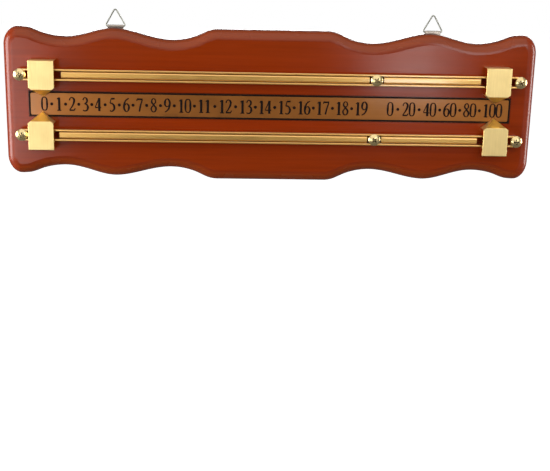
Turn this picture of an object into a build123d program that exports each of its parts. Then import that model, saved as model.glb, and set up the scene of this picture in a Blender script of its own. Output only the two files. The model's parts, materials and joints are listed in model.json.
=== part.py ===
# Wall scoreboard for billiards and snooker: a moulded hardwood board with a number plate,
# two slotted rails, and on each rail one slider for units and one for twenties.
# Millimetres. The origin is the middle of the board's flat back, the front faces -Y,
# +X runs along the numbers and +Z is up. A height is measured forward from the back face.
from build123d import *
import os

# Board
board_length = 605.0
board_height = 172.0
board_thickness = 18.0
moulding_radius = 12.0
back_arris = 0.8
corner_width = 16.0
corner_drop = 21.0

# Turning points of the wavy long edges, each as a distance in from the board's end
outer_slope_in = 38.5
outer_valley_in = 71.5
hump_in = 119.5
inner_valley_in = 185.5
inner_slope_in = 218.5
flat_in = 240.5
# and as drops below the flat middle, in that order after the corner, for the two edges
top_corner_drop = 0.6
top_drops = (5.2, 11.0, 1.0, 12.8, 6.8)
bottom_corner_drop = 4.5
bottom_drops = (9.6, 14.1, 3.1, 13.6, 6.9)

# Number plate, at a distance in from the ends of the board
plate_end_in = 28.0
plate_height = 28.4
plate_thickness = 1.0
plate_recess = 0.6
plate_corner = 0.8
recess_clearance = 0.1

# Rails
rail_offset = 33.8
rail_end_in = 18.8
lip_width = 2.1
slot_width = 8.8
rail_height = 12.0
lip_thickness = 3.0
rail_web = 1.0
rail_base = 2.0
rib_width = 7.6
rib_drop = 0.4
lip_round = 0.6
rib_round = 1.9
left_window = {"upper": 47.7, "lower": 44.0}
right_window = 47.7
middle_window = 16.5

# Rail screws
rail_screw_in = 2.0
middle_screw_x = 117.4
head_radius = 6.7
head_height = 3.4
head_rim = 0.7
shank_radius = 2.1
thread_depth = 13.0
cross_length = 6.4
cross_width = 1.3
cross_depth = 1.7
screw_fit = 0.05

# Sliders; each rests over the first or the last number, at a distance in from the plate's end
units_rest_in = {"upper": 17.1, "lower": 15.1}
twenties_rest_in = {"upper": 19.1, "lower": 18.5}
slider_width = 28.4
slider_height = 32.2
slider_front = 17.5
slider_floor_gap = 0.8
shoulder_in = 2.0
tip_to_centre_line = 8.6
tip_edge = 0.6
face_wall = 1.6
side_wall = 2.5
end_wall = 2.0
guide_wall = 2.4
sliding_clearance = 0.25
claw_reach = 1.05
claw_thickness = 1.5
corner_round = 0.5

# Hangers, each at a distance in from its end of the board
hanger_in = {"left": 124.5, "right": 119.2}
strap_width = 17.8
strap_length = 42.8
strap_sheet = 0.8
strap_corner = 7.0
strap_screw_drops = (14.8, 30.0)
pinch_length = 4.0
wire_radius = 0.8
wire_clearance = 0.15
ring_side = 23.5
ring_bend = 1.8
ring_above_hump = 1.4
strap_head_radius = 4.8
strap_head_height = 2.0
strap_head_rim = 0.6
strap_shank_radius = 1.75
strap_screw_length = 14.0
strap_cross_length = 4.6
strap_cross_width = 1.1
strap_cross_depth = 1.1

# Values that follow from the sizes above
half_length = board_length / 2
half_height = board_height / 2
plate_length = board_length - 2 * plate_end_in
plate_half_length = plate_length / 2
rail_half_length = half_length - rail_end_in
rail_half_width = slot_width / 2 + lip_width
web_half_width = slot_width / 2 + rail_web
rail_top = board_thickness + rail_height
rail_screw_x = rail_half_length - rail_screw_in
channel_half = rail_half_width + sliding_clearance
slider_back_level = board_thickness + slider_floor_gap
slider_front_level = board_thickness + slider_front
ceiling_level = slider_front_level - face_wall
loop_radius = wire_radius + wire_clearance
loop_y = strap_sheet + loop_radius
hump_z = half_height - top_drops[2]
ring_axis_z = hump_z + ring_above_hump
strap_top = ring_axis_z + loop_radius + strap_sheet
strap_bottom = strap_top - strap_length
strap_stack = 2 * strap_sheet

os.makedirs("parts", exist_ok=True)


def save(builder, name):
    """Labels a finished piece and writes it under its own name."""
    builder.part.label = name
    export_step(builder.part, f"parts/{name}.step")


def long_edge(side, corner, drops):
    """Half of the top or bottom edge, from the middle out, with the corner that ends it."""
    stations = (outer_slope_in, outer_valley_in, hump_in, inner_valley_in, inner_slope_in)
    lobe = (half_length - corner_width, side * (half_height - corner))
    flat = (half_length - flat_in, side * half_height)
    waves = [(half_length - place, side * (half_height - drop)) for place, drop in zip(stations, drops)]
    Line((0, side * half_height), flat)
    Spline(flat, *reversed(waves), lobe, tangents=[(1, 0), (1, 0)])
    turn_centre = (lobe[0], lobe[1] - side * corner_drop)
    EllipticalCenterArc(
        turn_centre,
        corner_width,
        corner_drop,
        start_angle=0 if side > 0 else 270,
        arc_size=90,
    )
    return (half_length, turn_centre[1])


def facing_front(x, z, height):
    """Plane parallel to the board's face at a height above its back, centred on (x, z)."""
    return Plane(origin=(x, -height, z), x_dir=(1, 0, 0), z_dir=(0, -1, 0))


def facing_end(x, z):
    """Plane across the board at x, whose own x runs towards the wall and whose y runs up."""
    return Plane(origin=(x, 0, z), x_dir=(0, 1, 0), z_dir=(1, 0, 0))


rail_places = {"upper": rail_offset, "lower": -rail_offset}
screw_places = {"left": -rail_screw_x, "middle": middle_screw_x, "right": rail_screw_x}
hanger_places = {
    "left": hanger_in["left"] - half_length,
    "right": half_length - hanger_in["right"],
}
strap_screw_places = {
    "upper": strap_top - strap_screw_drops[0],
    "lower": strap_top - strap_screw_drops[1],
}

# The board is one plank. Its front edge is a broad round, its back edge is only eased.
with BuildPart() as board:
    with BuildSketch(Plane.XZ):
        with BuildLine():
            top_end = long_edge(1, top_corner_drop, top_drops)
            bottom_end = long_edge(-1, bottom_corner_drop, bottom_drops)
            Line(top_end, bottom_end)
            mirror(about=Plane.YZ)
        make_face()
    extrude(amount=board_thickness)
    fillet(board.faces().sort_by(Axis.Y)[0].edges(), radius=moulding_radius)
    fillet(board.faces().sort_by(Axis.Y)[-1].edges(), radius=back_arris)
    # Shallow bed for the number plate
    with BuildSketch(Plane.XZ.offset(board_thickness)):
        RectangleRounded(
            plate_length + 2 * recess_clearance,
            plate_height + 2 * recess_clearance,
            plate_corner + recess_clearance,
        )
    extrude(amount=-plate_recess, mode=Mode.SUBTRACT)
    # Pilot holes for the rail screws, from the front
    with BuildSketch(Plane.XZ.offset(board_thickness)):
        with Locations([(x, z) for z in rail_places.values() for x in screw_places.values()]):
            Circle(shank_radius + screw_fit)
    extrude(amount=-thread_depth - screw_fit, mode=Mode.SUBTRACT)
    # Pilot holes for the hanger screws, from the back
    with BuildSketch(Plane.XZ):
        with Locations([(x, z) for x in hanger_places.values() for z in strap_screw_places.values()]):
            Circle(strap_shank_radius + screw_fit)
    extrude(amount=strap_screw_length - strap_stack + screw_fit, mode=Mode.SUBTRACT)
save(board, "board")

# The number plate lies in its bed and stands a little proud of the wood.
with BuildPart() as number_plate:
    with BuildSketch(Plane.XZ.offset(board_thickness - plate_recess)):
        RectangleRounded(plate_length, plate_height, plate_corner)
    extrude(amount=plate_thickness)
save(number_plate, "number_plate")


def rail(name, rail_z, left_end):
    """A slotted extrusion: base, two webs with outward lips, and a rib down the middle."""
    foot = -board_thickness
    lip_top = -rail_top
    lip_under = lip_top + lip_thickness
    floor = foot - rail_base
    rib_top = lip_top + rib_drop
    half_slot = slot_width / 2
    half_rib = rib_width / 2
    with BuildPart() as part:
        with BuildSketch(facing_end(-rail_half_length, rail_z)) as section:
            with BuildLine():
                Polyline(
                    (foot, 0),
                    (foot, web_half_width),
                    (lip_under, web_half_width),
                    (lip_under, rail_half_width),
                    (lip_top, rail_half_width),
                    (lip_top, half_slot),
                    (floor, half_slot),
                    (floor, half_rib),
                    (rib_top, half_rib),
                    (rib_top, 0),
                )
                mirror(about=Plane.XZ)
            make_face()
            fillet(section.vertices().group_by(Axis.X)[0], radius=lip_round)
            rib_corners = section.vertices().filter_by_position(Axis.X, rib_top, rib_top)
            fillet(rib_corners, radius=rib_round)
        extrude(amount=2 * rail_half_length)
        # Windows through rib and base leave room for the screws.
        with BuildSketch(facing_front(0, rail_z, board_thickness)):
            with Locations((left_end / 2 - rail_half_length, 0)):
                Rectangle(left_end, slot_width)
            with Locations((rail_half_length - right_window / 2, 0)):
                Rectangle(right_window, slot_width)
            with Locations((middle_screw_x, 0)):
                Rectangle(middle_window, slot_width)
        extrude(amount=rail_height, mode=Mode.SUBTRACT)
    save(part, name)


def screw(name, x, z, seat, outward, head, shank, cross, turn):
    """A domed screw with a cross recess; outward is +1 for the back and -1 for the front."""
    radius, height, rim = head
    shank_size, length = shank
    cross_size, cross_slot, cross_deep = cross
    # The dome's seam lies halfway between two arms of the cross.
    halfway = 45
    radial = Vector(1, 0, 0).rotate(Axis.Y, turn)
    profile_plane = Plane(origin=(x, 0, z), x_dir=radial, z_dir=radial.cross(Vector(0, 1, 0)))
    top = seat + outward * height
    cross_plane = Plane(origin=(x, top, z), x_dir=radial, z_dir=(0, outward, 0))
    with BuildPart() as part:
        with BuildSketch(profile_plane):
            with BuildLine():
                crown = (0, top)
                base = Polyline(
                    crown,
                    (0, seat - outward * length),
                    (shank_size, seat - outward * length),
                    (shank_size, seat),
                    (radius, seat),
                    (radius, seat + outward * rim),
                )
                TangentArc(crown, base @ 1, tangent=(1, 0))
            make_face()
        revolve(axis=Axis((x, 0, z), (0, 1, 0)))
        with BuildSketch(cross_plane):
            Rectangle(cross_size, cross_slot, rotation=halfway)
            Rectangle(cross_slot, cross_size, rotation=halfway)
        extrude(amount=-cross_deep, mode=Mode.SUBTRACT)
    save(part, name)


def slider(name, x, rail_z, inward):
    """A hollow pointer block that straddles a rail; inward is the end that clears a screw head."""
    toward = -1 if rail_z > 0 else 1
    half_width = slider_width / 2
    half_tall = slider_height / 2
    tip = toward * (rail_offset - tip_to_centre_line)
    shoulder = toward * (half_tall - shoulder_in)
    depth = slider_front_level - slider_back_level
    guide_half = channel_half + guide_wall
    pocket_depth = half_tall - side_wall - guide_half
    pocket_middle = guide_half + pocket_depth / 2
    inner_width = slider_width - 2 * end_wall
    with BuildPart() as part:
        with BuildSketch(facing_front(x, rail_z, slider_back_level)):
            with BuildLine():
                Polyline(
                    (-half_width, -toward * half_tall),
                    (half_width, -toward * half_tall),
                    (half_width, shoulder),
                    (0, tip),
                    (-half_width, shoulder),
                    close=True,
                )
            make_face()
        extrude(amount=depth)
        # The nose slopes from the edge of the face down to its tip.
        with BuildSketch(facing_end(x - half_width, rail_z)):
            with BuildLine():
                Polyline(
                    (-slider_front_level, toward * half_tall),
                    (-slider_front_level, tip),
                    (-slider_back_level - tip_edge, tip),
                    close=True,
                )
            make_face()
        extrude(amount=slider_width, mode=Mode.SUBTRACT)
        fillet(part.faces().sort_by(Axis.Y)[0].edges(), radius=corner_round)
        # Passage for the rail from end to end
        with BuildSketch(facing_front(x, rail_z, slider_back_level)):
            Rectangle(slider_width, 2 * channel_half)
        extrude(amount=rail_top + sliding_clearance - slider_back_level, mode=Mode.SUBTRACT)
        # Headroom above the rail, open at the inward end, and two pockets that lighten the block
        with BuildSketch(facing_front(x, rail_z, slider_back_level)):
            with Locations((inward * end_wall / 2, 0)):
                Rectangle(slider_width - end_wall, 2 * channel_half)
            with Locations((0, pocket_middle), (0, -pocket_middle)):
                Rectangle(inner_width, pocket_depth)
        extrude(amount=ceiling_level - slider_back_level, mode=Mode.SUBTRACT)
        # Claws that reach under the rail's lips
        claw_top = rail_top - lip_thickness - sliding_clearance
        claw_middle = channel_half - claw_reach / 2
        with BuildSketch(facing_front(x, rail_z, claw_top)):
            with Locations((0, claw_middle), (0, -claw_middle)):
                Rectangle(inner_width, claw_reach)
        extrude(amount=-claw_thickness)
    save(part, name)


def strap(name, x):
    """A strip folded double round the ring's wire, its two layers pressed together below."""
    pinch_z = ring_axis_z - pinch_length
    outer_y = loop_y + loop_radius + strap_sheet
    with BuildPart() as part:
        with BuildSketch(facing_end(x - strap_width / 2, 0)):
            with BuildLine():
                down = Polyline(
                    (0, ring_axis_z),
                    (0, strap_bottom),
                    (strap_stack, strap_bottom),
                    (strap_stack, pinch_z),
                    (outer_y, ring_axis_z),
                )
                ThreePointArc(down @ 1, (loop_y, strap_top), down @ 0)
            make_face()
            with BuildLine():
                inside = Polyline(
                    (strap_sheet, ring_axis_z),
                    (strap_sheet, pinch_z),
                    (loop_y + loop_radius, ring_axis_z),
                )
                ThreePointArc(inside @ 1, (loop_y, ring_axis_z + loop_radius), inside @ 0)
            make_face(mode=Mode.SUBTRACT)
        extrude(amount=strap_width)
        lower_corners = part.edges().filter_by(Axis.Y).group_by(Axis.Z)[0]
        fillet(lower_corners, radius=strap_corner)
        with BuildSketch(Plane.XZ):
            with Locations([(x, z) for z in strap_screw_places.values()]):
                Circle(strap_shank_radius + screw_fit)
        extrude(amount=-strap_stack, mode=Mode.SUBTRACT)
    save(part, name)


def ring(name, x):
    """A triangle of round wire, its three sides alike, whose base turns in the strap's fold."""
    half_side = ring_side / 2
    tall = (ring_side**2 - half_side**2) ** 0.5
    with BuildPart() as part:
        with BuildLine(facing_front(x, ring_axis_z, -loop_y)):
            path = FilletPolyline(
                (-half_side, 0),
                (half_side, 0),
                (0, tall),
                close=True,
                radius=ring_bend,
            )
        with BuildSketch(Plane(origin=path @ 0, z_dir=path % 0)):
            Circle(wire_radius)
        sweep(path=path)
    save(part, name)


rail_head = (head_radius, head_height, head_rim)
rail_shank = (shank_radius, rail_height + thread_depth)
rail_cross = (cross_length, cross_width, cross_depth)
turn_step = 37
for rail_name, rail_z in rail_places.items():
    rail(f"{rail_name}_rail", rail_z, left_window[rail_name])
    slider(f"{rail_name}_units_slider", units_rest_in[rail_name] - plate_half_length, rail_z, 1)
    slider(f"{rail_name}_twenties_slider", plate_half_length - twenties_rest_in[rail_name], rail_z, -1)
    for count, (place, x) in enumerate(screw_places.items(), start=1):
        turn = turn_step * count + (rail_z < 0) * turn_step / 2
        name = f"{rail_name}_rail_{place}_screw"
        screw(name, x, rail_z, -rail_top, -1, rail_head, rail_shank, rail_cross, turn)

strap_head = (strap_head_radius, strap_head_height, strap_head_rim)
strap_shank = (strap_shank_radius, strap_screw_length)
strap_cross = (strap_cross_length, strap_cross_width, strap_cross_depth)
for side, x in hanger_places.items():
    strap(f"{side}_hanger_strap", x)
    ring(f"{side}_hanger_ring", x)
    for count, (place, z) in enumerate(strap_screw_places.items(), start=1):
        name = f"{side}_hanger_{place}_screw"
        screw(name, x, z, strap_stack, 1, strap_head, strap_shank, strap_cross, turn_step * count)
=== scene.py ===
# %% [markdown]
# # A billiard scoreboard
# The real object is a small board that hangs on the wall beside a billiard table.
# A mahogany coloured board with a wavy outline carries a printed strip of numbers, and two
# gold rails above and below it. Two brass blocks slide on each rail and point at a number.
# On the back are two sheet metal hangers with wire rings.
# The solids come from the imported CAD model, which is loaded first and never moved. All sizes
# are in metres: +X runs along the numbers, -Y is the front, and +Z is up.

# %% Load the fixed frame
import json
import math

import bmesh
import bpy
from mathutils import Matrix, Vector


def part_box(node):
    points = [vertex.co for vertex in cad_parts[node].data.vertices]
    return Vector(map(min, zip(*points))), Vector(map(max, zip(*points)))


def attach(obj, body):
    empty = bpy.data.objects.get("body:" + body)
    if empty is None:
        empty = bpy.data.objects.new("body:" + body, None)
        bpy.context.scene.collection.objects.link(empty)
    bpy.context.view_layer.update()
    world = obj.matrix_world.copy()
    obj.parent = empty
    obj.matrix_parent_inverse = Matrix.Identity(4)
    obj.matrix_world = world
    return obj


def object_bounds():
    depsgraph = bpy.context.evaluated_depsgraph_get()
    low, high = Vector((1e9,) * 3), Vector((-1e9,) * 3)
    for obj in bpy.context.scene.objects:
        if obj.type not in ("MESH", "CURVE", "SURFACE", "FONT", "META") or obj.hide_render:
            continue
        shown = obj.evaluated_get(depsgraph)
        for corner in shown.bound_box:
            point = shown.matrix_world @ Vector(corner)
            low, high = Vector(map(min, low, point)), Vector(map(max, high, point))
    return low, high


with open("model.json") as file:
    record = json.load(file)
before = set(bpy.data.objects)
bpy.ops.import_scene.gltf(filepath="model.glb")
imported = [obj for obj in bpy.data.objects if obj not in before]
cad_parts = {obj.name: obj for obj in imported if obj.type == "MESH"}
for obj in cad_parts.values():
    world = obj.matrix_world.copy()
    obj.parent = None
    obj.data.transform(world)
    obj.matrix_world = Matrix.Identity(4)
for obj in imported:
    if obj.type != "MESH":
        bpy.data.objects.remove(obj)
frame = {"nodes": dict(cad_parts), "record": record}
cad_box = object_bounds()
nodes = frame["nodes"]
MM = 0.001
print("CAD box in mm:", [[round(v / MM, 1) for v in corner] for corner in cad_box])

# %% [markdown]
# Colours are easiest to pick as sRGB hex values, as a paint program shows them, but the shaders
# count in linear light. One function does that conversion for every colour below.
# A second one adds a shader node with its settings, and links it. A third starts a material
# with an even colour. With these, a material reads as a list of what happens to the surface.
# A node's sockets are picked by name, or by number where names repeat. In a Mix node, 0 is the
# share, 6 and 7 are two colours, and output 2 is their mix, while 2 and 3 are plain numbers and
# output 0 is theirs. In a Map Range node, 0 is the value, 1 and 2 are the range it comes from,
# and 3 and 4 the range it goes to. In a Mapping node, 3 is the scale.

# %% Colour and node helpers
def linear(hex_colour):
    """sRGB hex value, such as "8a3512", to linear red, green, blue and an alpha of 1."""
    parts = [int(hex_colour[i:i + 2], 16) / 255 for i in (0, 2, 4)]
    curve = [p / 12.92 if p <= 0.04045 else ((p + 0.055) / 1.055) ** 2.4 for p in parts]
    return (*curve, 1.0)


def node(tree, kind, inputs=None, **settings):
    """Add a node. Settings are its own properties; inputs are values or other nodes' sockets."""
    made = tree.nodes.new(kind)
    for name, value in settings.items():
        setattr(made, name, value)
    for name, value in (inputs or {}).items():
        if isinstance(value, bpy.types.NodeSocket):
            tree.links.new(value, made.inputs[name])
        else:
            made.inputs[name].default_value = value
    return made


def new_material(name, colour, roughness, metallic=0.0):
    """A material with its Principled shader at an even colour, ready for its own detail."""
    made = bpy.data.materials.new(name)
    made.use_nodes = True
    tree = made.node_tree
    shader = tree.nodes["Principled BSDF"]
    shader.inputs["Base Color"].default_value = linear(colour)
    shader.inputs["Roughness"].default_value = roughness
    shader.inputs["Metallic"].default_value = metallic
    return made, tree, shader


HALF_WAY_GREY = "808080"
print("half-way grey in linear light:", round(linear(HALF_WAY_GREY)[0], 3))

# %% [markdown]
# ## The camera
# The photograph was taken a little over a metre in front of the board and a little above it,
# and the board fills the upper half of the picture. So the camera aims at a point under the
# board. Its place, lens and small roll were fitted to the screws, pointer tips and outline.

# %% Camera
CAMERA_PLACE = Vector((-51.5, -1205.4, 165.9)) * MM
CAMERA_AIM = Vector((6.8, -18.0, -151.4)) * MM
CAMERA_ROLL = math.radians(1.30)
LENS_MM = 68.29
SENSOR_MM = 36

camera = bpy.data.objects.new("Camera", bpy.data.cameras.new("Camera"))
bpy.context.scene.collection.objects.link(camera)
camera.data.sensor_width = SENSOR_MM
camera.data.lens = LENS_MM
turn = (CAMERA_AIM - CAMERA_PLACE).to_track_quat("-Z", "Y").to_matrix()
turn = turn @ Matrix.Rotation(CAMERA_ROLL, 3, "Z")
camera.matrix_world = Matrix.Translation(CAMERA_PLACE) @ turn.to_4x4()
bpy.context.scene.camera = camera
bpy.context.scene.view_settings.view_transform = "Standard"
print("camera to the point it aims at in mm:",
      round((CAMERA_AIM - CAMERA_PLACE).length / MM))

# %% [markdown]
# ## Floor
# A plain pale floor lies well below the hanging board. It is white in the picture because it
# glows a little for the camera, and not because more light falls on the board. For all other
# light it is grey, as if it ended just outside the picture, so that little light comes from
# below and the lacquer keeps its depth.

# %% Floor
FLOOR_BELOW = 420 * MM
FLOOR_HALF = 9.0

floor_mesh = bmesh.new()
bmesh.ops.create_grid(floor_mesh, x_segments=1, y_segments=1, size=FLOOR_HALF)
bmesh.ops.translate(floor_mesh, verts=floor_mesh.verts,
                    vec=(0, 0, cad_box[0].z - FLOOR_BELOW))
floor = bpy.data.objects.new("floor", bpy.data.meshes.new("floor"))
floor_mesh.to_mesh(floor.data)
bpy.context.scene.collection.objects.link(floor)
print("floor height in mm:", round((cad_box[0].z - FLOOR_BELOW) / MM))

# %% Floor paint
FLOOR_WHITE = "ebebeb"
FLOOR_FOR_OTHER_LIGHT = "686868"
FLOOR_ROUGHNESS = 0.9
FLOOR_GLOW = 0.8
WHITE_LIGHT = (1, 1, 1, 1)

# Matt paint: an even pale ground with no gloss
floor_paint, tree, shader = new_material("floor_matt_white_paint", FLOOR_WHITE,
                                         FLOOR_ROUGHNESS)
path = node(tree, "ShaderNodeLightPath")
seen_by_camera = node(tree, "ShaderNodeMix",
                      {0: path.outputs["Is Camera Ray"], 6: linear(FLOOR_FOR_OTHER_LIGHT),
                       7: linear(FLOOR_WHITE)}, data_type="RGBA")
tree.links.new(seen_by_camera.outputs[2], shader.inputs["Base Color"])
glow = node(tree, "ShaderNodeMath", {0: path.outputs["Is Camera Ray"], 1: FLOOR_GLOW},
            operation="MULTIPLY")
shader.inputs["Emission Color"].default_value = WHITE_LIGHT
tree.links.new(glow.outputs[0], shader.inputs["Emission Strength"])
floor.data.materials.append(floor_paint)
print("floor glow for the camera:", FLOOR_GLOW)

# %% [markdown]
# ## Surroundings
# The room is dim up to the height of the camera and has a wide pale ceiling. In the flat lacquer
# the dim part is mirrored, so the stain looks deep there, and the rounded border mirrors the
# ceiling as one broad even band. The camera itself sees plain white behind the board, and
# mirrors that look to the back see part of that white.

# %% World
ROOM_LOW = 0.06
CEILING = 0.3
BACKDROP_IN_MIRRORS = 0.15
# How far a direction points up, or to the back: 1 is straight there, 0 is square to it
CEILING_STARTS, CEILING_FULL = 0.25, 0.6
BACKDROP_STARTS, BACKDROP_FULL = 0.3, 0.7
WHITE_BACKGROUND = 1.0

world = bpy.data.worlds.new("studio")
bpy.context.scene.world = world
world.use_nodes = True
tree = world.node_tree
background = tree.nodes["Background"]
background.inputs["Color"].default_value = WHITE_LIGHT
path = node(tree, "ShaderNodeLightPath")
direction = node(tree, "ShaderNodeSeparateXYZ",
                 {0: node(tree, "ShaderNodeTexCoord").outputs["Generated"]})
room = node(tree, "ShaderNodeMapRange",
            {0: direction.outputs["Z"], 1: CEILING_STARTS, 2: CEILING_FULL,
             3: ROOM_LOW, 4: CEILING})
backdrop = node(tree, "ShaderNodeMapRange",
                {0: direction.outputs["Y"], 1: BACKDROP_STARTS, 2: BACKDROP_FULL,
                 3: 0, 4: BACKDROP_IN_MIRRORS})
mirrored = node(tree, "ShaderNodeMath",
                {0: path.outputs["Is Glossy Ray"], 1: path.outputs["Is Transmission Ray"]},
                operation="MAXIMUM")
backdrop_seen = node(tree, "ShaderNodeMath", {0: mirrored.outputs[0], 1: backdrop.outputs[0]},
                     operation="MULTIPLY")
surroundings = node(tree, "ShaderNodeMath", {0: room.outputs[0], 1: backdrop_seen.outputs[0]},
                    operation="MAXIMUM")
seen = node(tree, "ShaderNodeMix", {0: path.outputs["Is Camera Ray"],
                                    2: surroundings.outputs[0], 3: WHITE_BACKGROUND})
tree.links.new(seen.outputs[0], background.inputs["Strength"])
print("room and ceiling:", ROOM_LOW, CEILING)

# %% [markdown]
# ## Lamps
# The lacquer shows where the lamps of the photograph stood. A wide softbox left of the camera
# glows in the left end of the board, and a small one right of the camera glows right of the
# middle. One beside each end draws the bright line along the rounded end, and two weaker ones
# light the short rails and the faces of the sliders on the right. A wide one above the camera
# gives most of the light, and a long one over the board lights its top edge. No flat surface
# mirrors those two into the camera. The last one stands low behind the board, where it lights
# the back for looks from there, and not the top edge.

# %% Softboxes
def softbox(name, place_mm, aim_mm, size_mm, watts):
    """A rectangular lamp at a place, turned towards a point, all in millimetres."""
    lamp = bpy.data.lights.new(name, "AREA")
    lamp.shape = "RECTANGLE"
    lamp.size, lamp.size_y = size_mm[0] * MM, size_mm[1] * MM
    lamp.energy = watts
    made = bpy.data.objects.new(name, lamp)
    bpy.context.scene.collection.objects.link(made)
    place = Vector(place_mm) * MM
    heading = (Vector(aim_mm) * MM - place).to_track_quat("-Z", "Y")
    made.matrix_world = Matrix.Translation(place) @ heading.to_matrix().to_4x4()
    print(name, "watts:", watts)
    return made


# Name, then place, aim, and width and height in millimetres, then watts
softbox("left_softbox", (-965, -1205, -150), (-250, 0, 0), (1030, 500), 6)
softbox("left_side_softbox", (-1500, -260, 0), (-300, 0, 0), (750, 900), 24)
softbox("right_softbox", (365, -1205, -30), (150, 0, 0), (170, 220), 0.65)
softbox("right_side_softbox", (1150, -1000, 100), (250, 0, 0), (900, 1100), 1.8)
softbox("right_high_softbox", (700, -1205, 350), (250, 0, 0), (500, 400), 2.5)
softbox("right_rim_softbox", (1500, 40, 0), (300, 0, 0), (350, 800), 10)
softbox("upper_softbox", (0, -1150, 950), (0, 0, 0), (3000, 1500), 14)
softbox("top_softbox", (0, -250, 1300), (0, 0, 0), (2000, 600), 3.5)
back_lamp = softbox("back_softbox", (0, 1700, 360), (0, 0, 0), (2500, 300), 22)
# It shines towards the camera from behind the board, and must not show in the picture
back_lamp.visible_camera = False

# %% [markdown]
# ## Mahogany stain under gloss lacquer
# The board is a pale close-grained wood. Its face got a deep red mahogany stain, and the routed
# border took less of it, so it is more orange. The end grain at both ends drank more of it, and
# the flat back is a shade deeper than the face. The thin side wall is darkest, with a painted
# shade. A clear gloss lacquer lies over all of it.
# A painted picture of these tones would have to be fitted to the waves of the outline. Here the
# shape itself tells where each tone belongs, so a point's coordinates are enough.

# %% Mahogany
FACE_STAIN = "852c04"
# A thin painted shade line along the crease between face and border
CREASE_PAINTED_SHADE = "7c2803"
BORDER_STAIN = "843204"
END_GRAIN_STAIN = "862b05"
# Painted shadow along the edge of the strip's recess
SEAM_PAINTED_SHADOW = "2a0c04"
# Painted shade that darkens the side wall and outer border into a dark outline
SIDE_WALL_PAINTED_SHADE = "5c1c08"
BACK_STAIN = "6e2606"
LACQUER_IOR = 1.38
LACQUER_ROUGHNESS = 0.2

# Stained wood behind a clear gloss: the colour looks deep, and lamps glow softly on top of it
mahogany, tree, shader = new_material("mahogany_stain_under_gloss_lacquer", FACE_STAIN,
                                      LACQUER_ROUGHNESS)
shader.inputs["IOR"].default_value = LACQUER_IOR
place = node(tree, "ShaderNodeTexCoord").outputs["Object"]
point = node(tree, "ShaderNodeSeparateXYZ", {0: place})
print("mahogany in linear light:", [round(v, 4) for v in linear(FACE_STAIN)])

# %% [markdown]
# ### Face, border and ends
# The depth below the face tells the border from the face, because the border is a fillet that
# falls away from it. So one ramp over the Y coordinate paints the face, a thin painted shade
# line at the crease, and the border. The distance from the board's middle finds its two ends.

# %% Face, border and ends
BOARD_FACE_Y = -18.0 * MM
BORDER_DEPTH = 0.6 * MM
# Shares of that depth
FACE_ENDS = 0.004
# The painted crease shade lies between these
CREASE_SHADE_BETWEEN = (0.03, 0.2)
# Distances from the middle
END_GRAIN_STARTS, END_GRAIN_FULL = 284 * MM, 293 * MM

border_depth = node(tree, "ShaderNodeMapRange", {0: point.outputs["Y"], 1: BOARD_FACE_Y,
                                                 2: BOARD_FACE_Y + BORDER_DEPTH})
# One ramp holds the stains and the painted crease shade
stains_and_crease_shade = node(tree, "ShaderNodeValToRGB", {0: border_depth.outputs[0]})
stains_and_crease_shade.color_ramp.elements[0].color = linear(FACE_STAIN)
stains_and_crease_shade.color_ramp.elements[0].position = FACE_ENDS
stains_and_crease_shade.color_ramp.elements[1].color = linear(BORDER_STAIN)
for position in CREASE_SHADE_BETWEEN:
    stains_and_crease_shade.color_ramp.elements.new(position).color = linear(CREASE_PAINTED_SHADE)
from_middle = node(tree, "ShaderNodeMath", {0: point.outputs["X"]}, operation="ABSOLUTE")
end_mask = node(tree, "ShaderNodeMapRange",
                {0: from_middle.outputs[0], 1: END_GRAIN_STARTS, 2: END_GRAIN_FULL})
ends = node(tree, "ShaderNodeMix",
            {0: end_mask.outputs[0], 6: stains_and_crease_shade.outputs[0], 7: linear(END_GRAIN_STAIN)},
            data_type="RGBA")
print("border tone is full at mm below the face:", round(BORDER_DEPTH / MM, 2))

# %% [markdown]
# ### Seam shadow
# Round the strip lies a thin dark line, a painted shadow along the edge of the sheet's recess.
# The larger of two distances, past the sheet's end and past its long side, tells how far a point
# is from the sheet.

# %% Seam shadow
plate_low, plate_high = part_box("number_plate")
PLATE_HALF_LENGTH = (plate_high.x - plate_low.x) / 2
PLATE_HALF_HEIGHT = (plate_high.z - plate_low.z) / 2
SEAM_SHADOW_SHARE = 0.85
SEAM_FULL_UP_TO, SEAM_GONE_AT = 0.3 * MM, 1.2 * MM

from_strip = node(tree, "ShaderNodeMath", {0: point.outputs["Z"]}, operation="ABSOLUTE")
past_end = node(tree, "ShaderNodeMath", {0: from_middle.outputs[0], 1: PLATE_HALF_LENGTH},
                operation="SUBTRACT")
past_side = node(tree, "ShaderNodeMath", {0: from_strip.outputs[0], 1: PLATE_HALF_HEIGHT},
                 operation="SUBTRACT")
past_plate = node(tree, "ShaderNodeMath", {0: past_end.outputs[0], 1: past_side.outputs[0]},
                  operation="MAXIMUM")
# The painted shadow is darkest next to the sheet
seam_shadow_mask = node(tree, "ShaderNodeMapRange",
                 {0: past_plate.outputs[0], 1: SEAM_FULL_UP_TO, 2: SEAM_GONE_AT,
                  3: SEAM_SHADOW_SHARE, 4: 0.0})
seam_shadowed = node(tree, "ShaderNodeMix",
              {0: seam_shadow_mask.outputs[0], 6: ends.outputs[2], 7: linear(SEAM_PAINTED_SHADOW)},
              data_type="RGBA")
print("strip in mm:", round(2 * PLATE_HALF_LENGTH / MM, 1), "x",
      round(2 * PLATE_HALF_HEIGHT / MM, 1))

# %% [markdown]
# ### Side wall and back
# Two more depths find the side wall and the back. The side wall gets a painted shade, which
# draws the dark outline, and the back its deeper stain. Both are mixed in last, because the
# seam's painted shadow mask doesn't know depth and would draw its line on the back too.

# %% Side wall and back
# Places along Y
WALL_STARTS, WALL_FULL = -11.5 * MM, -8.5 * MM
BACK_STARTS, BACK_FULL = -0.3 * MM, -0.1 * MM

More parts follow.
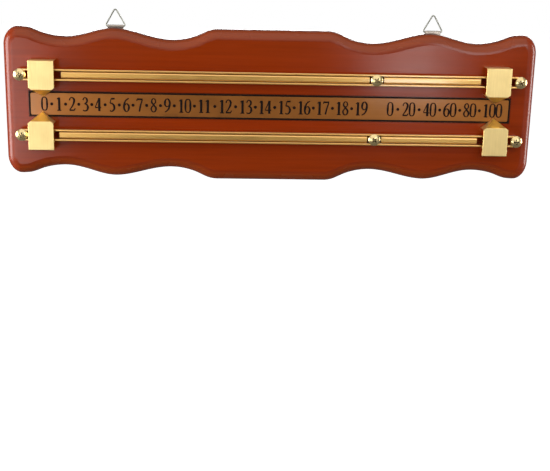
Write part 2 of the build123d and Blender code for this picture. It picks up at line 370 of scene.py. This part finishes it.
# The side wall is darkened by a painted shade
side_wall_shade_mask = node(tree, "ShaderNodeMapRange",
                 {0: point.outputs["Y"], 1: WALL_STARTS, 2: WALL_FULL})
side_wall_shaded = node(tree, "ShaderNodeMix",
             {0: side_wall_shade_mask.outputs[0], 6: seam_shadowed.outputs[2], 7: linear(SIDE_WALL_PAINTED_SHADE)},
             data_type="RGBA")
back_mask = node(tree, "ShaderNodeMapRange",
                 {0: point.outputs["Y"], 1: BACK_STARTS, 2: BACK_FULL})
backed = node(tree, "ShaderNodeMix",
              {0: back_mask.outputs[0], 6: side_wall_shaded.outputs[2], 7: linear(BACK_STAIN)},
              data_type="RGBA")
print("side wall tone is full from y in mm:", round(WALL_FULL / MM, 1))

# %% [markdown]
# ### Grain
# The stain hides most of the grain, and only faint streaks along the board show, each some
# 120 mm long and a few millimetres wide. A noise that is stretched to this size moves the tone
# a little, and serves the relief too.

# %% Grain
GRAIN_LENGTH = 120 * MM
GRAIN_WIDTH = 3.5 * MM
GRAIN_DEPTH = 8 * GRAIN_WIDTH
GRAIN_DARKEST, GRAIN_LIGHTEST = 0.90, 1.09
# Nearly all values of a noise lie between these two
NOISE_LOW, NOISE_HIGH = 0.3, 0.7

grain_place = node(tree, "ShaderNodeMapping",
                   {0: place, 3: (1 / GRAIN_LENGTH, 1 / GRAIN_DEPTH, 1 / GRAIN_WIDTH)})
grain = node(tree, "ShaderNodeTexNoise", {0: grain_place.outputs[0], "Scale": 1.0,
                                          "Detail": 4.0, "Roughness": 0.6})
grain_tone = node(tree, "ShaderNodeMapRange",
                  {0: grain.outputs[0], 1: NOISE_LOW, 2: NOISE_HIGH,
                   3: GRAIN_DARKEST, 4: GRAIN_LIGHTEST})
stained = node(tree, "ShaderNodeVectorMath",
               {0: backed.outputs[2], 1: grain_tone.outputs[0]}, operation="MULTIPLY")
tree.links.new(stained.outputs[0], shader.inputs["Base Color"])
print("grain in mm:", round(GRAIN_LENGTH / MM), "x", round(GRAIN_WIDTH / MM, 1))

# %% [markdown]
# ### Lacquer
# Lacquer never flows out quite even, so its gloss changes in soft clouds. It is a little
# duller on the border than on the flat face, and the grain shows through as a faint relief.

# %% Lacquer
# About 33 mm
LACQUER_CLOUD_LENGTH = 100 / 3 * MM
LACQUER_CLOUD_HEIGHT = LACQUER_CLOUD_LENGTH / 2
GLOSSIEST, DULLEST = 0.15, 0.19
BORDER_DULLER_BY = 0.1
GRAIN_RELIEF = 0.2 * MM
GRAIN_RELIEF_SHARE = 0.08

lacquer_place = node(tree, "ShaderNodeMapping",
                     {0: place, 3: (1 / LACQUER_CLOUD_LENGTH, 1 / LACQUER_CLOUD_LENGTH,
                                    1 / LACQUER_CLOUD_HEIGHT)})
lacquer = node(tree, "ShaderNodeTexNoise", {0: lacquer_place.outputs[0], "Scale": 1.0,
                                            "Detail": 2.0})
gloss = node(tree, "ShaderNodeMapRange", {0: lacquer.outputs[0], 1: NOISE_LOW, 2: NOISE_HIGH,
                                          3: GLOSSIEST, 4: DULLEST})
border_gloss = node(tree, "ShaderNodeMath",
                    {0: border_depth.outputs[0], 1: BORDER_DULLER_BY, 2: gloss.outputs[0]},
                    operation="MULTIPLY_ADD")
tree.links.new(border_gloss.outputs[0], shader.inputs["Roughness"])
relief = node(tree, "ShaderNodeBump", {"Strength": GRAIN_RELIEF_SHARE,
                                       "Distance": GRAIN_RELIEF, "Height": grain.outputs[0]})
tree.links.new(relief.outputs[0], shader.inputs["Normal"])
print("roughness of the face:", GLOSSIEST, "to", DULLEST)

# %% [markdown]
# ## Metals
# Every metal here carries the marks of how it was made: lines along a drawn rail, up and down on
# a block that was rubbed on abrasive cloth, along the rolled sheet. One helper lays such marks
# as a stretched noise that moves the colour, the roughness and the relief a little. Real marks
# of this kind are about 0.1 mm wide, too fine for the picture, so they are drawn 0.8 to 4 mm
# wide. A second, cloudy noise is the slight unevenness of plating, wax and fingers. A clear
# layer on top of a metal is a coat of its own.

# %% Marked metal
COAT_ROUGHNESS = 0.12
# About 17 mm
METAL_CLOUD = 50 / 3 * MM
MARK_RELIEF = 0.1 * MM
ROUGHNESS_SPREAD = 0.15
# Nearly all sums of two noises lie between these two
SUM_LOW, SUM_HIGH = 0.7, 1.3


def marked_metal(name, colour, roughness, mark_size_mm, tone, relief_strength, soft_edge_mm,
                 coat_ior=None):
    """Metal with marks of a size along x, y and z. Tone is the share the colour varies by."""
    made, tree, shader = new_material(name, colour, roughness, metallic=1.0)
    if coat_ior:
        shader.inputs["Coat Weight"].default_value = 1.0
        shader.inputs["Coat Roughness"].default_value = COAT_ROUGHNESS
        shader.inputs["Coat IOR"].default_value = coat_ior
    place = node(tree, "ShaderNodeTexCoord").outputs["Object"]
    scale = tuple(1 / (size * MM) for size in mark_size_mm)
    marks = node(tree, "ShaderNodeTexNoise",
                 {0: node(tree, "ShaderNodeMapping", {0: place, 3: scale}).outputs[0],
                  "Scale": 1.0, "Detail": 3.0, "Roughness": 0.65})
    clouds = node(tree, "ShaderNodeTexNoise", {0: place, "Scale": 1 / METAL_CLOUD,
                                               "Detail": 2.0})
    both = node(tree, "ShaderNodeMath", {0: marks.outputs[0], 1: clouds.outputs[0]},
                operation="ADD")
    tones = node(tree, "ShaderNodeMapRange", {0: both.outputs[0], 1: SUM_LOW, 2: SUM_HIGH,
                                              3: 1 - tone, 4: 1 + tone / 2})
    tinted = node(tree, "ShaderNodeVectorMath", {0: linear(colour)[:3], 1: tones.outputs[0]},
                  operation="MULTIPLY")
    tree.links.new(tinted.outputs[0], shader.inputs["Base Color"])
    dulled = node(tree, "ShaderNodeMapRange",
                  {0: both.outputs[0], 1: SUM_LOW, 2: SUM_HIGH,
                   3: roughness * (1 + ROUGHNESS_SPREAD), 4: roughness * (1 - ROUGHNESS_SPREAD)})
    tree.links.new(dulled.outputs[0], shader.inputs["Roughness"])
    soft_edges = node(tree, "ShaderNodeBevel", {"Radius": soft_edge_mm * MM}, samples=4)
    relief = node(tree, "ShaderNodeBump", {"Strength": relief_strength,
                                           "Distance": MARK_RELIEF,
                                           "Height": marks.outputs[0],
                                           "Normal": soft_edges.outputs[0]})
    tree.links.new(relief.outputs[0], shader.inputs["Normal"])
    print(name, "marks in mm:", mark_size_mm)
    return made


# %% [markdown]
# ### Strip and rails
# The strip is thin brown bronze sheet, brushed along its length. The board's lacquer runs over
# it and adds the same pale haze as on the wood. The rails are extruded aluminium, anodised
# gold, with lines along X. The metal under the dyed layer mirrors yellow, and the top of the
# clear hard oxide, here the coat, mirrors a lamp nearly white.

# %% Bronze sheet and gold aluminium
OXIDE_IOR = 1.75

# Dark satin metal that lets the black print stand out
plate_bronze = marked_metal("satin_bronze_sheet", "a56831", roughness=0.4,
                            mark_size_mm=(60, 1, 2), tone=0.04, relief_strength=0.02,
                            soft_edge_mm=0.0, coat_ior=LACQUER_IOR)
# Yellow metal on which each glint is drawn out along the rail
rail_gold = marked_metal("drawn_gold_anodised_aluminium", "f2bd66", roughness=0.36,
                         mark_size_mm=(70, 1, 0.9), tone=0.06, relief_strength=0.12,
                         soft_edge_mm=0.3, coat_ior=OXIDE_IOR)

# %% [markdown]
# ### Sliders
# The blocks are sawn from brass bar. The faces were rubbed up and down, which spreads a lamp's
# light. The two sides kept the smooth skin of the drawn bar, so they mirror the dark board
# beside them. The milled slope of the nose gets a darker colour, a painted shade. Each of these
# faces looks in its own direction, so one material can tell them apart, and the block needs no
# extra parts.

# %% Brushed brass
# Share of a face's direction that points sideways
SIDE_STARTS, SIDE_FULL = 0.7, 0.95
SIDE_ROUGHNESS_SHARE = 0.35
# Share that points to the back. The nose is the only face that looks partly forward.
NOSE_DIRECTION, NOSE_MARGIN = -0.5, 0.2
# Darker colour on the nose: a painted shade
NOSE_PAINTED_SHADE = "deb863"

# Pale yellow metal with a wide soft sheen on the rubbed faces
slider_brass = marked_metal("brushed_brass", "fde09a", roughness=0.45,
                            mark_size_mm=(0.8, 1, 25), tone=0.08, relief_strength=0.2,
                            soft_edge_mm=0.5)
tree = slider_brass.node_tree
shader = tree.nodes["Principled BSDF"]
rubbed_gloss = shader.inputs["Roughness"].links[0].from_socket
facing = node(tree, "ShaderNodeSeparateXYZ",
              {0: node(tree, "ShaderNodeTexCoord").outputs["Normal"]})
sideways = node(tree, "ShaderNodeMath", {0: facing.outputs["X"]}, operation="ABSOLUTE")
smoother = node(tree, "ShaderNodeMapRange",
                {0: sideways.outputs[0], 1: SIDE_STARTS, 2: SIDE_FULL,
                 3: 1.0, 4: SIDE_ROUGHNESS_SHARE})
side_gloss = node(tree, "ShaderNodeMath", {0: rubbed_gloss, 1: smoother.outputs[0]},
                  operation="MULTIPLY")
tree.links.new(side_gloss.outputs[0], shader.inputs["Roughness"])
brass_tone = shader.inputs["Base Color"].links[0].from_socket
forward = node(tree, "ShaderNodeMath",
               {0: facing.outputs["Y"], 1: NOSE_DIRECTION, 2: NOSE_MARGIN},
               operation="COMPARE")
# The nose faces get the painted shade
nose_shaded = node(tree, "ShaderNodeMix",
                 {0: forward.outputs[0], 6: brass_tone, 7: linear(NOSE_PAINTED_SHADE)},
                 data_type="RGBA")
tree.links.new(nose_shaded.outputs[2], shader.inputs["Base Color"])
print("side roughness is", SIDE_ROUGHNESS_SHARE, "of the rubbed faces'")

# %% [markdown]
# ### Rail screws
# Pressed screw heads with a thin bright brass plating. The cross recess is painted darker,
# partly as polish and dust left in it and partly as painted shade. Ambient occlusion measures
# how much of the light the walls round a point keep out, so it finds the recess on every head,
# whichever way its cross is turned.

# %% Brass plating
# Dark colour in the recess: polish residue and painted shade
RECESS_RESIDUE_AND_SHADE = "2a1c0a"
RECESS_DEPTH = 2 * MM
# Share of the light that reaches a point
RECESS_LIGHT, OPEN_LIGHT = 0.5, 0.95

# Bright plating: a sharp glint on each domed head
screw_brass = marked_metal("polished_brass_plating", "e2ca92", roughness=0.26,
                           mark_size_mm=(2, 2, 2), tone=0.06, relief_strength=0.1,
                           soft_edge_mm=0.2)
tree = screw_brass.node_tree
shader = tree.nodes["Principled BSDF"]
brass_tone = shader.inputs["Base Color"].links[0].from_socket
recess = node(tree, "ShaderNodeAmbientOcclusion", {"Distance": RECESS_DEPTH}, samples=8,
              only_local=True)
recess_residue_and_shade_mask = node(tree, "ShaderNodeMapRange",
                   {0: recess.outputs["AO"], 1: RECESS_LIGHT, 2: OPEN_LIGHT, 3: 1.0, 4: 0.0})
residue_and_shade_in_recess = node(tree, "ShaderNodeMix",
                        {0: recess_residue_and_shade_mask.outputs[0], 6: brass_tone, 7: linear(RECESS_RESIDUE_AND_SHADE)},
                        data_type="RGBA")
tree.links.new(residue_and_shade_in_recess.outputs[2], shader.inputs["Base Color"])
print("recess depth in mm:", round(RECESS_DEPTH / MM))

# %% [markdown]
# ### Hangers
# On the back are straps of rolled steel sheet with nickel, rings of hard drawn wire with the
# same plating, and steel screws with a chemical black. They are small and plain, so the helper
# gives each of them all it needs.

# %% Nickel plating and black oxide
# A slightly warm grey metal, dulled by handling
nickel_sheet = marked_metal("nickel_plated_steel_sheet", "aea398", roughness=0.3,
                            mark_size_mm=(1.2, 1, 30), tone=0.08, relief_strength=0.15,
                            soft_edge_mm=0.3)
# A like grey, smooth and a little duller
nickel_wire = marked_metal("nickel_plated_steel_wire", "a9a99d", roughness=0.35,
                           mark_size_mm=(4, 4, 4), tone=0.10, relief_strength=0.02,
                           soft_edge_mm=0.0)
# Nearly black, with a dull metal sheen
black_screw = marked_metal("black_oxide_steel", "232222", roughness=0.38,
                           mark_size_mm=(2, 2, 2), tone=0.2, relief_strength=0.15,
                           soft_edge_mm=0.2)

# %% [markdown]
# ## The solids take their finishes
# Each CAD node has a material slot in the record. The node keeps its mesh and place, and only
# the material in it changes.

# %% Assign finishes
finishes = {"mahogany_lacquer": mahogany, "plate_brass": plate_bronze, "rail_gold": rail_gold,
            "slider_brass": slider_brass, "screw_brass": screw_brass,
            "nickel_sheet": nickel_sheet, "nickel_wire": nickel_wire,
            "black_screw": black_screw}
for part in frame["record"]["subparts"]:
    piece = nodes[part["node"]]
    piece.data.materials.clear()
    piece.data.materials.append(finishes[part["material_slot"]])

# %% [markdown]
# ## The printed strip
# The bronze sheet is screen printed in black: a border along its edges, the numerals, and a
# round dot between each two of them. Ink stands about 0.03 mm high. Real print could be an
# image, but small shapes of their own stay sharp from near and need no picture file.
# The ink is nearly black, matt, and a little thinner in places.

# %% Printing ink
INK = "0c0705"
THICK_INK, THIN_INK = "0c0502", "1c0d06"
# Values of the noise up to which the ink is thick, and from which it is thin
THICK_UP_TO, THIN_FROM = 0.3, 0.75
INK_ROUGHNESS = 0.6
INK_SPECULAR = 0.1
# Real ink is uneven in far smaller specks, which would not show
SPECKLE_SIZE = 10 / 9 * MM
INK_RELIEF = 0.02 * MM
INK_RELIEF_SHARE = 0.2

# Matt ink: a brownish black that takes no glint
ink, tree, shader = new_material("screen_printed_black_ink", INK, INK_ROUGHNESS)
shader.inputs["Specular IOR Level"].default_value = INK_SPECULAR
speckle = node(tree, "ShaderNodeTexNoise",
               {0: node(tree, "ShaderNodeTexCoord").outputs["Object"],
                "Scale": 1 / SPECKLE_SIZE, "Detail": 3.0})
ink_tone = node(tree, "ShaderNodeValToRGB", {0: speckle.outputs[0]})
ink_tone.color_ramp.elements[0].position = THICK_UP_TO
ink_tone.color_ramp.elements[0].color = linear(THICK_INK)
ink_tone.color_ramp.elements[1].position = THIN_FROM
ink_tone.color_ramp.elements[1].color = linear(THIN_INK)
tree.links.new(ink_tone.outputs[0], shader.inputs["Base Color"])
ink_relief = node(tree, "ShaderNodeBump", {"Strength": INK_RELIEF_SHARE,
                                           "Distance": INK_RELIEF,
                                           "Height": speckle.outputs[0]})
tree.links.new(ink_relief.outputs[0], shader.inputs["Normal"])
print("ink speckles in mm:", round(SPECKLE_SIZE / MM, 1))

# %% Laying print on the plate
PLATE_FACE_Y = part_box("number_plate")[0].y
INK_HEIGHT = 0.03 * MM


def printed(name, mesh):
    """Put a thin mesh on the plate as a piece of print that rides with the board."""
    piece = bpy.data.objects.new(name, mesh)
    bpy.context.scene.collection.objects.link(piece)
    mesh.materials.clear()
    mesh.materials.append(ink)
    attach(piece, "root")


print("plate face at y in mm:", round(PLATE_FACE_Y / MM, 2))

# %% [markdown]
# ### Border
# A flat rectangle the size of the sheet is inset, so that a frame and a field remain. The
# field's corners are bevelled round, the field is taken out, and the frame gets the height of
# the ink.

# %% Border
BORDER_WIDTH = 1.85 * MM
EDGE_GAP = 0.05 * MM
FIELD_CORNER = 1.6 * MM
CORNER_STEPS = 4

border = bmesh.new()
bmesh.ops.create_grid(border, x_segments=1, y_segments=1, size=1.0)
bmesh.ops.scale(border, verts=border.verts,
                vec=(PLATE_HALF_LENGTH - EDGE_GAP, PLATE_HALF_HEIGHT - EDGE_GAP, 1))
bmesh.ops.inset_region(border, faces=border.faces[:], thickness=BORDER_WIDTH,
                       use_boundary=True, use_even_offset=True)
field = min(border.faces, key=lambda f: f.calc_center_median().length)
bmesh.ops.bevel(border, geom=field.verts[:], offset=FIELD_CORNER, offset_type="OFFSET",
                segments=CORNER_STEPS, profile=0.5, affect="VERTICES", material=-1)
field = max(border.faces, key=lambda f: len(f.verts))
print("border field has", len(field.verts), "corners")
bmesh.ops.delete(border, geom=[field], context="FACES_ONLY")
bmesh.ops.solidify(border, geom=border.faces[:], thickness=INK_HEIGHT)
bmesh.ops.rotate(border, verts=border.verts, matrix=Matrix.Rotation(math.radians(90), 3, "X"))
bmesh.ops.recalc_face_normals(border, faces=border.faces[:])
lift = PLATE_FACE_Y - max(v.co.y for v in border.verts)
bmesh.ops.translate(border, verts=border.verts, vec=(0, lift, 0))
border_mesh = bpy.data.meshes.new("printed_border")
border.to_mesh(border_mesh)
printed("printed_border", border_mesh)

# %% [markdown]
# ### Numerals
# The figures are narrow Roman ones, with thick upright strokes, thin level ones and small feet.
# No typeface is used. Each figure is a few pen strokes: a curve with a round bevel whose radius
# changes from point to point, as a pen's line does. The mesh made from it is pressed flat to the
# height of the ink. A stroke that ends where it began is a closed loop.

# %% Pen strokes of the ten figures
# Each point: share of the figure's width, share of its height, and weight from thin 0 to thick 1
STROKES = {
    "0": [[(0.50, 0.99, 0), (0.11, 0.50, 1), (0.50, 0.01, 0), (0.89, 0.50, 1), (0.50, 0.99, 0)]],
    "1": [[(0.52, 0.02, 0.9), (0.52, 0.97, 0.9)], [(0.18, 0.84, 0), (0.50, 0.95, 0.4)],
          [(0.20, 0.02, 0), (0.84, 0.02, 0)]],
    "2": [[(0.09, 0.76, 0.3), (0.20, 0.92, 0.1), (0.46, 0.98, 0.1), (0.78, 0.86, 0.9),
           (0.77, 0.64, 0.9), (0.52, 0.36, 0.4), (0.08, 0.05, 0)],
          [(0.08, 0.045, 0.5), (0.84, 0.045, 0.5)], [(0.82, 0.05, 0.3), (0.96, 0.20, 0)]],
    "3": [[(0.12, 0.80, 0.3), (0.26, 0.94, 0.1), (0.50, 0.98, 0.1), (0.76, 0.84, 0.8),
           (0.68, 0.64, 0.5), (0.36, 0.54, 0)],
          [(0.36, 0.54, 0), (0.68, 0.48, 0.5), (0.86, 0.28, 1), (0.68, 0.06, 0.5),
           (0.36, 0.01, 0.1), (0.10, 0.06, 0.4)]],
    "4": [[(0.68, 0.01, 0.9), (0.68, 0.98, 0.9)], [(0.66, 0.97, 0.1), (0.05, 0.30, 0)],
          [(0.04, 0.27, 0.15), (0.98, 0.27, 0.15)]],
    "5": [[(0.34, 0.93, 0.6), (0.90, 0.95, 0.6)], [(0.33, 0.95, 0), (0.17, 0.60, 0.1)],
          [(0.17, 0.60, 0.1), (0.44, 0.60, 0.3), (0.82, 0.36, 1), (0.70, 0.10, 0.6),
           (0.38, 0.01, 0.1), (0.10, 0.06, 0.4)]],
    "6": [[(0.90, 0.99, 0), (0.44, 0.84, 0.4), (0.13, 0.44, 1), (0.22, 0.12, 0.7),
           (0.52, 0.01, 0), (0.87, 0.26, 1), (0.76, 0.52, 0.5), (0.50, 0.58, 0),
           (0.20, 0.44, 0)]],
    "7": [[(0.08, 0.93, 0.6), (0.95, 0.93, 0.6)], [(0.10, 0.93, 0.2), (0.04, 0.80, 0)],
          [(0.93, 0.93, 0.1), (0.62, 0.45, 0.5), (0.42, 0.02, 0.6)]],
    "8": [[(0.50, 0.99, 0), (0.19, 0.78, 0.6), (0.50, 0.54, 0.6), (0.87, 0.25, 0.9),
           (0.50, 0.01, 0), (0.12, 0.24, 0.7), (0.46, 0.52, 0), (0.80, 0.78, 0.4),
           (0.50, 0.99, 0)]],
}
# A nine is a six turned half round
STROKES["9"] = [[(1 - across, 1 - up, weight) for across, up, weight in stroke]
                for stroke in STROKES["6"]]
print(sum(len(stroke) for strokes in STROKES.values() for stroke in strokes), "points")

# %% Sizes and places of the numerals, in millimetres
FIGURE_WIDTH = 7.2
FIGURE_HEIGHT = 15.4
FIGURE_PITCH = 7.6
FIGURE_BOTTOM = -7.5
THIN_RADIUS = 0.65
THICK_RADIUS = 1.42

# Middle of each numeral along the plate
UNITS = {"0": -257.2, "1": -240.9, "2": -226.2, "3": -211.3, "4": -197.1, "5": -181.2,
         "6": -165.2, "7": -150.2, "8": -134.5, "9": -119.0, "10": -99.5, "11": -77.0,
         "12": -53.2, "13": -29.9, "14": -8.1, "15": 14.4, "16": 36.6, "17": 58.1,
         "18": 80.4, "19": 102.2}
TWENTIES = {"0": 135.7, "20": 157.2, "40": 181.4, "60": 204.8, "80": 227.9, "100": 254.3}
print("numerals:", len(UNITS), "units and", len(TWENTIES), "twenties")

# %% Pen lines
CURVE_STEPS = 6


def numeral_curve(digits, middle_mm):
    """All pen strokes of one numeral as a bevelled curve, centred on a place along the plate."""
    curve = bpy.data.curves.new("strokes", "CURVE")
    curve.dimensions = "3D"
    # With a bevel of 1 mm, the radius of a point is in millimetres
    curve.bevel_depth = MM
    curve.bevel_resolution = 1
    curve.resolution_u = CURVE_STEPS
    curve.use_fill_caps = True
    for count, digit in enumerate(digits):
        centre = middle_mm + (count - (len(digits) - 1) / 2) * FIGURE_PITCH
        for stroke in STROKES[digit]:
            closed = stroke[0] == stroke[-1]
            points = stroke[:-1] if closed else stroke
            line = curve.splines.new("BEZIER")
            line.bezier_points.add(len(points) - 1)
            line.use_cyclic_u = closed
            for knot, (across, up, weight) in zip(line.bezier_points, points):
                knot.co = (Vector((centre + (across - 0.5) * FIGURE_WIDTH, 0,
                                   FIGURE_BOTTOM + up * FIGURE_HEIGHT)) * MM)
                knot.radius = THIN_RADIUS + weight * (THICK_RADIUS - THIN_RADIUS)
                knot.handle_left_type = knot.handle_right_type = "AUTO"
    return curve


def pressed_flat(curve):
    """The curve's mesh, pressed to the height of the ink and laid on the plate's face."""
    holder = bpy.data.objects.new("strokes", curve)
    bpy.context.scene.collection.objects.link(holder)
    shape = holder.evaluated_get(bpy.context.evaluated_depsgraph_get())
    mesh = bpy.data.meshes.new_from_object(shape)
    bpy.data.objects.remove(holder)
    press = Matrix.Diagonal((1, INK_HEIGHT / (THICK_RADIUS * MM), 1, 1))
    mesh.transform(Matrix.Translation((0, PLATE_FACE_Y, 0)) @ press)
    return mesh


print("steps between two points of a stroke:", CURVE_STEPS)

# %% Numerals
faces = 0
for group, places in (("units", UNITS), ("twenties", TWENTIES)):
    for digits, middle in places.items():
        mesh = pressed_flat(numeral_curve(digits, middle))
        printed(f"{group}_numeral_{digits}", mesh)
        faces += len(mesh.polygons)
print("numerals:", len(UNITS) + len(TWENTIES), "with", faces, "faces")

# %% [markdown]
# ### Dots
# A round dot stands at mid-height between each two neighbours of a group. Its place is the
# middle of the gap between their ink, so it moves over where one of them is wider. A cone with
# two equal radii is a disc, and half of its thickness lies inside the sheet, so no gap can show.

# %% Dots
DOT_RADIUS = 1.75 * MM
DOT_SIDES = 20


def half_width(digits):
    """Half of a numeral's width in millimetres."""
    return ((len(digits) - 1) * FIGURE_PITCH + FIGURE_WIDTH) / 2


for group, places in (("units", UNITS), ("twenties", TWENTIES)):
    dots = bmesh.new()
    names = list(places)
    for one, other in zip(names, names[1:]):
        middle = (places[one] + half_width(one) + places[other] - half_width(other)) / 2
        lie = (Matrix.Translation((middle * MM, PLATE_FACE_Y, 0))
               @ Matrix.Rotation(math.radians(90), 4, "X"))
        bmesh.ops.create_cone(dots, cap_ends=True, segments=DOT_SIDES, radius1=DOT_RADIUS,
                              radius2=DOT_RADIUS, depth=2 * INK_HEIGHT, matrix=lie)
    dot_mesh = bpy.data.meshes.new(f"{group}_dots")
    dots.to_mesh(dot_mesh)
    printed(f"{group}_dots", dot_mesh)
    print(group, "dots:", len(names) - 1)
